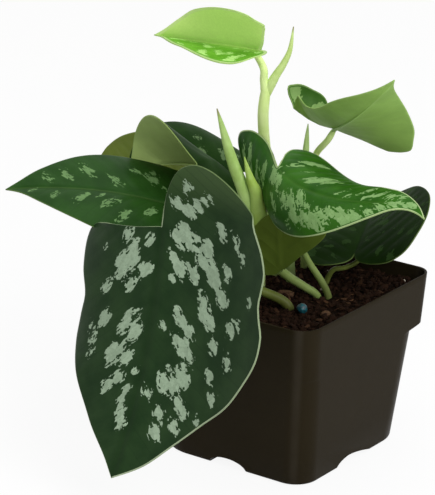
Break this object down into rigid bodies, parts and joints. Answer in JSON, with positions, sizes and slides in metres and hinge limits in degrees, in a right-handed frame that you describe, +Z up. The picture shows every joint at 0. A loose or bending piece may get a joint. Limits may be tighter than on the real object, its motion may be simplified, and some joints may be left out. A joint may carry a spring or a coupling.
{
  "type": "potted plant",
  "caption": "Young satin pothos: silver-splashed heart-shaped leaves on bare stalks, with soil, in a square tapered nursery pot.",
  "frame": {"origin": "centre of the pot's foot, on the surface that it stands on", "axes": "+Z up along the pot's axis; +X and +Y square to the pot's faces, with +X towards the free side of the soil"},
  "size_m": [0.2482, 0.2071, 0.2172],
  "materials": {
    "pot": "satin, fine moulded grain",
    "soil": "damp, crumbly",
    "bark": "rough, dry",
    "bead": "dull coated",
    "leaf_dark": "satin leaf with silvery patches",
    "leaf_green": "satin leaf with silvery patches",
    "leaf_young": "satin young leaf",
    "leaf_pale": "matte leaf seen from below",
    "stalk": "satin, smooth"
  },
  "bodies": {
    "root": {"bark_chip_flat": "bark", "bark_chip_long": "bark", "bark_chip_small": "bark", "fertiliser_bead": "bead", "leaf_back_left": "leaf_pale", "leaf_cupped": "leaf_dark", "leaf_front": "leaf_dark", "leaf_inner": "leaf_dark", "leaf_left": "leaf_dark", "leaf_low_right": "leaf_dark", "leaf_right": "leaf_green", "leaf_top": "leaf_young", "leaf_upper_right": "leaf_pale", "main_stem": "stalk", "pot": "pot", "sheath_left": "stalk", "side_stem": "stalk", "soil": "soil", "spear_back": "stalk", "spear_left": "stalk", "spear_top": "stalk", "stalk_back_left": "stalk", "stalk_cupped": "stalk", "stalk_front": "stalk", "stalk_inner": "stalk", "stalk_left": "stalk", "stalk_low_right": "stalk", "stalk_right": "stalk", "stalk_top": "stalk", "stalk_upper_right": "stalk"}
  },
  "joints": []
}
